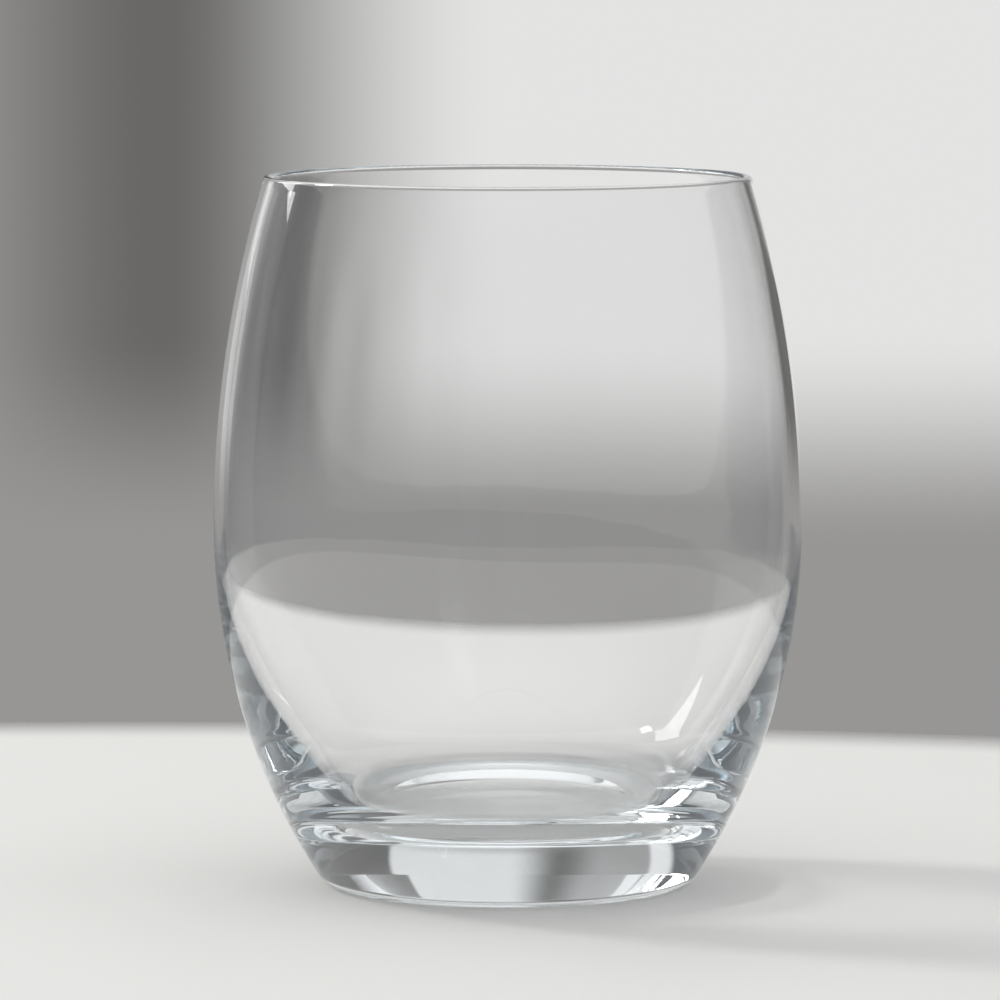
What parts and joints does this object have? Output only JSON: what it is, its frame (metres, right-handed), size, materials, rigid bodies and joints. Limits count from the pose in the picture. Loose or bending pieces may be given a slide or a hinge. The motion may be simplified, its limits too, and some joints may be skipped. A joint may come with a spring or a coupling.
{
  "type": "stemless wine glass",
  "caption": "Clear stemless wine glass: a rounded, tapering bowl with a fire-polished rim on a thick clear foot with a shallow hollow underneath.",
  "frame": {"origin": "centre of the foot's standing ring, on the table", "axes": "+Z along the axis of the glass, from the table up to the rim"},
  "size_m": [0.088, 0.088, 0.1063],
  "materials": {
    "clear_glass": "fire-polished, clear"
  },
  "bodies": {
    "root": {"bowl": "clear_glass", "foot": "clear_glass"}
  },
  "joints": []
}
